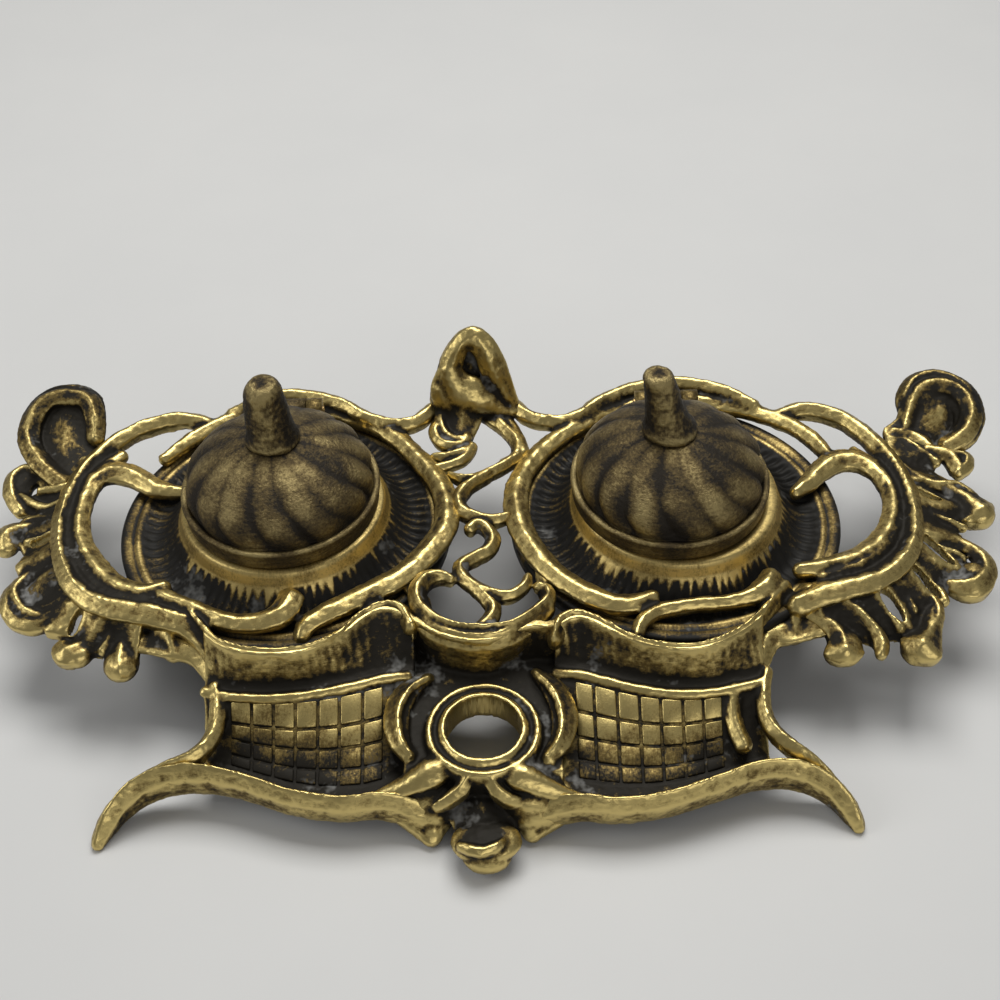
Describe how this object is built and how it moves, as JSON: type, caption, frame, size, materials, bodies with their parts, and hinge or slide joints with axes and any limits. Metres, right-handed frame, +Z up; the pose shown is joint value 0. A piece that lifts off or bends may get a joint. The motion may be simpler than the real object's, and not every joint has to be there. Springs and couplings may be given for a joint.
{
  "type": "desk inkstand",
  "caption": "Openwork cast brass desk inkstand with hinged domed lids over lined ink wells and a scrolled pen tray with a round hole.",
  "frame": {"origin": "on the desk, under the middle of the stand's outline", "axes": "+Z up, -Y towards the writer (the pen tray's side), +X to the writer's right"},
  "size_m": [0.2549, 0.1372, 0.0713],
  "materials": {
    "polished_brass": "cast, polished on its crests, black patina in its recesses",
    "dark_brass": "cast, dark patina, polished collar",
    "pitted_brass": "cast, dull and finely pitted",
    "plain_brass": "turned, dull",
    "white_liner": "opaque white, glazed"
  },
  "bodies": {
    "stand": {"stand": "polished_brass", "well_left": "dark_brass", "well_right": "dark_brass", "well_screws_left": "plain_brass", "well_screws_right": "plain_brass", "liner_left": "white_liner", "liner_right": "white_liner", "hinge_pin_left": "plain_brass", "hinge_pin_right": "plain_brass"},
    "lid_left": {"lid_left": "pitted_brass", "finial_left": "pitted_brass", "finial_nut_left": "plain_brass"},
    "lid_right": {"lid_right": "pitted_brass", "finial_right": "pitted_brass", "finial_nut_right": "plain_brass"}
  },
  "joints": [
    {"name": "lid_left_hinge", "type": "hinge", "parent": "stand", "child": "lid_left", "pos_m": [-0.0536, 0.051, 0.0362], "axis": [-1, 0, 0], "range_deg": [0, 105]},
    {"name": "lid_right_hinge", "type": "hinge", "parent": "stand", "child": "lid_right", "pos_m": [0.0444, 0.051, 0.0362], "axis": [-1, 0, 0], "range_deg": [0, 105]}
  ]
}
